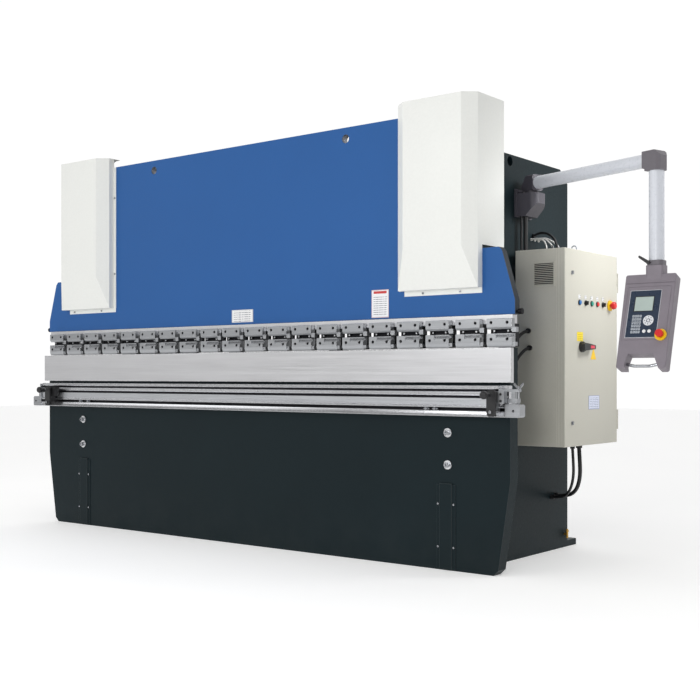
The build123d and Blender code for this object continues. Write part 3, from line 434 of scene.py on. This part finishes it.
bm = bmesh.new()
for x0, x1, z0, z1 in ((1.847, 1.856, 1.602, 1.745), (1.981, 1.990, 1.602, 1.745), (1.856, 1.981, 1.602, 1.611), (1.856, 1.981, 1.736, 1.745)):
    prism_x(bm, x0, x1, [(0.454, z0 + 0.001), (0.455, z0), (0.460, z0), (0.460, z1), (0.455, z1), (0.454, z1 - 0.001)], 0)
for i in range(12):
    z = 1.611 + i * 0.0104
    prism_x(bm, 1.856, 1.981, [(0.4545, z + 0.0014), (0.4552, z + 0.0006), (0.4566, z + 0.0010), (0.4600, z + 0.0052), (0.4590, z + 0.0060)], 0)
# black plate behind the slats (slot 1): painted shade for the dark gaps between the slats
prism_x(bm, 1.8562, 1.9808, [(0.4612, 1.6112), (0.4622, 1.6112), (0.4622, 1.7358), (0.4612, 1.7358)], 1)
bmesh.ops.recalc_face_normals(bm, faces=bm.faces)
data = bpy.data.meshes.new("louver")
bm.to_mesh(data)
bm.free()
data.materials.append(M["cabinet_beige"])
data.materials.append(M["black_plastic"])
louver = bpy.data.objects.new("louver", data)
scene.collection.objects.link(louver)
b = louver.modifiers.new("edge", "BEVEL")
b.width, b.segments, b.limit_method, b.angle_limit = 0.0004, 2, "ANGLE", math.radians(50)
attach(louver, "frame")
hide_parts("cabinet_louver")
plain("cabinet_internals", ["aluminium", "key_grey", "black_plastic"], 0.001,
      rule=lambda c, n: 0 if c.x < 1.7541 else (2 if 0.84 < c.y < 0.95 else 1))
plain("cabinet_cables", ["hose_black", "cable_white"], 0.0,
      rule=lambda c, n: 1 if (c.z > 1.815 and 0.692 < c.y < 0.80 and not (c.y < 0.735 and (c.z > 1.923 or c.x > 1.826))) else 0)
plain("ram_plate", ["ram_blue", "plug_steel"], 0.002, "ram_edge",
      rule=lambda c, n: 1 if (abs(abs(c.x) - 0.845) < 0.027 and abs(c.z - 2.512) < 0.027) else 0)
plain("clamp_bodies", ["black_oxide"], 0.0008)
plain("upper_clamp_plates", ["clamp_steel"], 0.0010, "bright_edge")
plain("lower_clamp_plates", ["clamp_steel"], 0.0010, "bright_edge")
plain("clamp_slide_bars", ["chrome"], 0.0008)
for n in ("ram_cover_right", "ram_cover_left"):
    plain(n, ["cover_white"], 0.0008, "cover_edge")
M["data_plate"] = plate_print("data_plate", (236, 236, 236), (88, 90, 110), 6, (-0.098, 1.434), (0.189, 0.082), border=(196, 196, 200))
M["rules_plate"] = plate_print("rules_plate", (238, 238, 240), (120, 120, 135), 13, (1.042, 1.429), (0.125, 0.164), border=(214, 190, 194), header=(198, 60, 60))
plain("ram_fittings", ["chrome", "data_plate", "rules_plate", "black_oxide"], 0.0006,
      rule=lambda c, n: 1 if (-0.1 < c.x < 0.1) else (2 if 1.04 < c.x < 1.17 and 1.42 < c.z < 1.60 else (3 if abs(c.x) > 2.0 else 0)))
plain("piston_rods", ["chrome"], 0.001)
plain("ram_brackets", ["dark_steel"], 0.001)
plain("torsion_shaft", ["dark_steel"], 0.001)
for side in ("left", "right"):
    cx = -1.840 if side == "left" else 1.941
    slider = 1 if side == "left" else 0
    plain("front_carriage_" + side, ["clamp_steel", "black_plastic", "chrome"], 0.0015,
          rule=lambda c, n, slider=slider: slider if c.y > -0.1505 else (1 if c.y > -0.1725 else 2))
    plain("carriage_knob_" + side, ["black_plastic"], 0.0015)
for n, m in (("push_button_blue", "blue_plastic"), ("push_button_green", "green_plastic"), ("push_button_red", "red_plastic"),
             ("emergency_stop", "red_plastic"), ("pendant_estop", "red_plastic"), ("selector_left", "black_plastic"),
             ("selector_right", "black_plastic"), ("door_lock_top", "chrome"), ("door_lock_bottom", "chrome"),
             ("pendant_clamp_lever", "black_plastic")):
    plain(n, [m], 0.0012)
g = Graph("switch_handle")
p = g.xyz()
in_y = g.math("MULTIPLY", g.math("GREATER_THAN", p[1], 0.712), g.math("LESS_THAN", p[1], 0.764))
in_z = g.math("LESS_THAN", g.math("ABSOLUTE", g.math("SUBTRACT", p[2], 1.257)), 0.0085)
front = g.math("GREATER_THAN", p[0], 2.0885)
patch = g.math("MULTIPLY", g.math("MULTIPLY", in_y, in_z), front)
dark = g.ramp(g.noise(20, 3), [(0.3, lin((22, 24, 26))), (0.7, lin((32, 35, 37)))])
red = g.ramp(g.noise(30, 3), [(0.3, lin((200, 40, 66))), (0.7, lin((222, 62, 84)))])
g.set(Base_Color=g.mix(patch, dark, red), Roughness=g.span(g.noise(40, 3), 0.3, 0.7, 0.30, 0.42), Normal=g.bump(g.noise(700, 2), 0.12, 0.0003))
M["switch_handle"] = g.mat
plain("main_switch_handle", ["switch_handle"], 0.002, segments=3)
plain("pendant_handle", ["chrome"], 0.0)
plain("pendant_shell", ["pendant_grey"], 0.004, segments=3)


def arm_rule(c, n):
    d = ((c.x - 1.775) * 0.9554 - (c.y - 0.575) * 0.2955)
    if d < 0.0505:
        return 1
    return 2 if d > 0.8655 else 0


plain("swing_arm", ["tube_alu", "housing_grey", "elbow_grey"], 0.003, rule=arm_rule, segments=3)
plain("pendant_column", ["tube_alu", "elbow_grey"], 0.003, rule=lambda c, n: 1 if c.z < 1.6925 else 0)

# screens and keys of the pendant, fittings of the door: chosen by place
import_t = math.radians(2)
import_q = math.radians(19.5)
nf = Vector((math.sin(import_t), -math.cos(import_t), 0))
R = Vector((math.cos(import_t), math.sin(import_t), 0))
N = nf * math.cos(import_q) + Vector((0, 0, 1)) * math.sin(import_q)
U = N.cross(R)
O = Vector((2.665, 0.300, 1.618)) - N * 0.032


def case(c):
    v = c - O
    return v.dot(R) * 1000, v.dot(U) * 1000, v.dot(N) * 1000


def panel_rule(c, n):
    x, y, d = case(c)
    if (x - 78) ** 2 + (y + 353) ** 2 < 33 ** 2 and d > 63.5:
        return 5
    if d < 63.55:
        return 0
    if y > -218 and -84 < x < 17:
        return 1
    if (x - 1) ** 2 + (y + 271) ** 2 < 30 ** 2:
        return 3
    if y < -318 and x > -27:
        return 4
    return 2


plain("pendant_panel", ["navy_panel", "lcd", "key_grey", "pad_white", "white_plastic", "yellow_plastic"], 0.0005, rule=panel_rule)


def on_case(x, y, d):
    return O + R * (x / 1000) + U * (y / 1000) + N * (d / 1000)


def case_piece(name, material, boxes, bevel=0.0004):
    # thin printed or moulded details, laid on the case in its own axes
    bm = bmesh.new()
    for x0, x1, y0, y1, d0, d1 in boxes:
        low = [bm.verts.new(on_case(x, y, d0)) for x, y in ((x0, y0), (x1, y0), (x1, y1), (x0, y1))]
        top = [bm.verts.new(on_case(x, y, d1)) for x, y in ((x0, y0), (x1, y0), (x1, y1), (x0, y1))]
        bm.faces.new(list(reversed(low)))
        bm.faces.new(top)
        for k in range(4):
            bm.faces.new((low[k], low[(k + 1) % 4], top[(k + 1) % 4], top[k]))
    data = bpy.data.meshes.new(name)
    bm.to_mesh(data)
    bm.free()
    data.materials.append(M[material])
    o = bpy.data.objects.new(name, data)
    scene.collection.objects.link(o)
    if bevel:
        b = o.modifiers.new("edge", "BEVEL")
        b.width, b.segments, b.limit_method = bevel, 2, "ANGLE"
    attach(o, "pendant")
    return o


# frame of the screen, marks on the keys and on the navigation ring, light rim of the panel
case_piece("screen_frame", "black_plastic", [
    (-86, 19, -138, -134, 63.4, 64.8), (-86, 19, -220, -216, 63.4, 64.8), (-86, -82, -216, -138, 63.4, 64.8), (15, 19, -216, -138, 63.4, 64.8)])
case_piece("key_marks", "pad_ink", [
    (-62 + 13 * (i - 1.5) - 2.6, -62 + 13 * (i - 1.5) + 2.6, -290 + 17.6 * (j - 2.5) - 1.2, -290 + 17.6 * (j - 2.5) + 2.4, 65.9, 66.06)
    for i in range(4) for j in range(6)], 0)
case_piece("ring_marks", "pad_ink", [
    (1 + 19.5 * math.cos(a) - 2.2, 1 + 19.5 * math.cos(a) + 2.2, -271 + 19.5 * math.sin(a) - 2.2, -271 + 19.5 * math.sin(a) + 2.2, 65.9, 66.06)
    for a in [math.pi / 4 * k for k in range(8)]], 0)
case_piece("panel_rim", "pad_white", [
    (-115.4, -113.6, -364.8, -100.2, 63.3, 64.3), (51.6, 53.4, -364.8, -100.2, 63.3, 64.3),
    (-113.6, 51.6, -102, -100.2, 63.3, 64.3), (-113.6, 51.6, -364.8, -363, 63.3, 64.3)])
M["yellow_label"] = plate_print("yellow_label", (240, 214, 30), (150, 130, 20), 5, (0.610, 1.290), (0.075, 0.053), axes="YZ")
M["sticker"] = plate_print("sticker", (214, 220, 236), (70, 80, 130), 8, (0.760, 0.890), (0.141, 0.081), border=(120, 130, 180), axes="YZ")
M["label_black"] = plate_print("label_black", (222, 222, 224), (40, 40, 44), 2, (0.60, 1.538), (0.42, 0.022), axes="YZ")


def door_rule(c, n):
    if abs(c.y - 1.042) < 0.033 and abs(c.z - 1.515) < 0.033:
        return 1
    if 1.536 < c.z < 1.562:
        return 2
    if 1.28 < c.z < 1.35 and c.y < 0.70 and c.x < 2.0535:
        return 3
    if 1.18 < c.z < 1.26 and c.y > 0.78:
        return 1
    if c.z < 1.0:
        return 4
    return 0


plain("door_fittings", ["black_plastic", "yellow_plastic", "label_black", "yellow_label", "sticker"], 0.0004, rule=door_rule)


# ------------------------------------------------------- screws with sockets
def screw_mesh(bm, centre, axis, r, h, socket, flat=0.0009):
    """Cap screw head: chamfered cylinder with a hexagon socket, its top looking along axis."""
    axis = axis.normalized()
    a = axis.orthogonal().normalized()
    b = axis.cross(a)
    n = 24

    def ring(radius, depth, count=n, turn=0.0):
        return [bm.verts.new(centre + axis * depth + (a * math.cos(turn + 2 * math.pi * i / count) + b * math.sin(turn + 2 * math.pi * i / count)) * radius)
                for i in range(count)]

    foot, side, top = ring(r, -h), ring(r, -flat), ring(r - flat, 0)
    inner = ring(socket, 0)
    deep = ring(socket, -h * 0.55)
    rings = [foot, side, top]
    for lo_, hi_ in zip(rings, rings[1:]):
        for i in range(n):
            bm.faces.new((lo_[i], lo_[(i + 1) % n], hi_[(i + 1) % n], hi_[i]))
    # the socket's ring is pulled onto a hexagon
    for ringv in (inner, deep):
        for i, v in enumerate(ringv):
            t = 2 * math.pi * i / n
            k = math.cos(math.pi / 6) / math.cos((t % (math.pi / 3)) - math.pi / 6)
            rel = v.co - centre
            along = rel.dot(axis)
            v.co = centre + axis * along + (rel - axis * along) * k
    for lo_, hi_ in ((top, inner), (inner, deep)):
        for i in range(n):
            bm.faces.new((lo_[i], lo_[(i + 1) % n], hi_[(i + 1) % n], hi_[i]))
    bm.faces.new(list(reversed(deep)))
    bm.faces.new(list(reversed(foot)))


def screw_piece(name, body, material, screws, node=None):
    bm = bmesh.new()
    for centre, axis, r, h, socket in screws:
        screw_mesh(bm, Vector(centre), Vector(axis), r, h, socket)
    bmesh.ops.recalc_face_normals(bm, faces=bm.faces)
    for f in bm.faces:
        f.smooth = True
    for e in bm.edges:
        if len(e.link_faces) == 2:
            e.smooth = e.calc_face_angle(0.0) < math.radians(32)
    data = bpy.data.meshes.new(name)
    bm.to_mesh(data)
    bm.free()
    data.materials.append(M[material])
    o = bpy.data.objects.new(name, data)
    scene.collection.objects.link(o)
    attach(o, body)
    if node:
        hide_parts(node)
    return o


front = (0, -1, 0)
stations = [-1.873 + 0.2 * i for i in range(20)]
heads = []
for x in stations:
    for dx in (-0.05, 0.05):
        heads.append(((x + dx, -0.0590, 1.376), front, 0.008, 0.008, 0.0045))
        heads.append(((x + dx, -0.0590, 1.286), front, 0.008, 0.008, 0.0045))
screw_piece("clamp_cap_screws", "ram", "black_oxide", heads, "clamp_screws")
small = []
for x in stations:
    small.append(((x - 0.046, -0.034, 1.331), front, 0.006, 0.010, 0.003))
    small.append(((x + 0.040, -0.034, 1.331), front, 0.006, 0.010, 0.003))
screw_piece("clamp_tie_screws", "ram", "bright_edge", small)
tie = [((x, -0.0640, z), front, 0.015, 0.017, 0.008) for x in (-1.586, 1.586) for z in (0.59, 0.77)]
washers = [((x, -0.046, z), front, 0.026, 0.006, 0.016) for x in (-1.586, 1.586) for z in (0.59, 0.77)]
screw_piece("tie_bolt_heads", "frame", "chrome", tie, "bed_screws")
screw_piece("tie_bolt_washers", "frame", "bright_edge", washers)
strip = [((s * x, -0.049, z), front, 0.006, 0.005, 0.003) for s in (-1, 1) for x in (1.523, 1.627) for z in (0.13, 0.37)]
screw_piece("strip_screws", "frame", "chrome", strip)

# ------------------------------------------------------------ floor, lights
floor_data = bpy.data.meshes.new("floor")
s = 30.0
floor_data.from_pydata([(-s, -s, 0), (s, -s, 0), (s, s, 0), (-s, s, 0)], [], [(0, 1, 2, 3)])
floor = bpy.data.objects.new("floor", floor_data)
scene.collection.objects.link(floor)
g = Graph("floor_pale")
g.set(Base_Color=g.ramp(g.noise(0.7, 3), [(0.3, (0.86, 0.86, 0.86)), (0.7, (0.89, 0.89, 0.885))]), Roughness=0.8)
g.bsdf.inputs["Specular IOR Level"].default_value = 0.1
g.bsdf.inputs["Emission Color"].default_value = (1.0, 1.0, 1.0, 1.0)
g.bsdf.inputs["Emission Strength"].default_value = 0.28
floor_data.materials.append(g.mat)

world = bpy.data.worlds.new("studio")
scene.world = world
world.use_nodes = True
wt = world.node_tree
wt.nodes.clear()
wo = wt.nodes.new("ShaderNodeOutputWorld")
bg = wt.nodes.new("ShaderNodeBackground")
# a white cove behind the machine, a bright ceiling and a dimmer room in front of it
tc = wt.nodes.new("ShaderNodeTexCoord")
sep = wt.nodes.new("ShaderNodeSeparateXYZ")
wt.links.new(tc.outputs["Generated"], sep.inputs[0])
dot = wt.nodes.new("ShaderNodeVectorMath")
dot.operation = "DOT_PRODUCT"
dot.inputs[1].default_value = (-0.6157, 0.788, 0.0)
wt.links.new(tc.outputs["Generated"], dot.inputs[0])
back = wt.nodes.new("ShaderNodeMapRange")
for k, v in zip((1, 2, 3, 4), (0.0, 0.75, 0.24, 1.02)):
    back.inputs[k].default_value = v
wt.links.new(dot.outputs["Value"], back.inputs[0])
roof = wt.nodes.new("ShaderNodeMapRange")
for k, v in zip((1, 2, 3, 4), (0.35, 0.8, 0.24, 0.85)):
    roof.inputs[k].default_value = v
wt.links.new(sep.outputs[2], roof.inputs[0])
most = wt.nodes.new("ShaderNodeMath")
most.operation = "MAXIMUM"
wt.links.new(back.outputs[0], most.inputs[0])
wt.links.new(roof.outputs[0], most.inputs[1])
bg.inputs[0].default_value = (1.0, 1.0, 1.0, 1)
wt.links.new(most.outputs[0], bg.inputs[1])
wt.links.new(bg.outputs[0], wo.inputs[0])


def area(name, place, target, size, watts, tint=(1, 1, 1), size_y=None, spread=180):
    d = bpy.data.lights.new(name, "AREA")
    d.energy = watts
    d.color = tint
    d.size = size
    d.spread = math.radians(spread)
    if size_y:
        d.shape = "RECTANGLE"
        d.size_y = size_y
    o = bpy.data.objects.new(name, d)
    scene.collection.objects.link(o)
    o.location = place
    o.rotation_euler = (Vector(target) - Vector(place)).to_track_quat("-Z", "Y").to_euler()
    return o


area("front_box", (-0.8, -5.8, 3.1), (0.1, 0, 1.3), 3.0, 68, size_y=2.0)
area("fill_left", (-6.0, -5.0, 3.6), (-0.8, 0, 1.3), 3.0, 36)
area("front_right", (3.4, -5.0, 2.3), (2.0, 0.4, 1.4), 1.4, 58)
area("door_box", (3.5, 1.4, 3.0), (2.1, 0.9, 1.95), 0.9, 7, spread=56)
area("right_side", (6.0, -1.0, 2.9), (1.7, 0.5, 1.9), 2.0, 3)

scene.view_settings.view_transform = "Standard"
scene.view_settings.look = "None"
scene.view_settings.exposure = 0.0
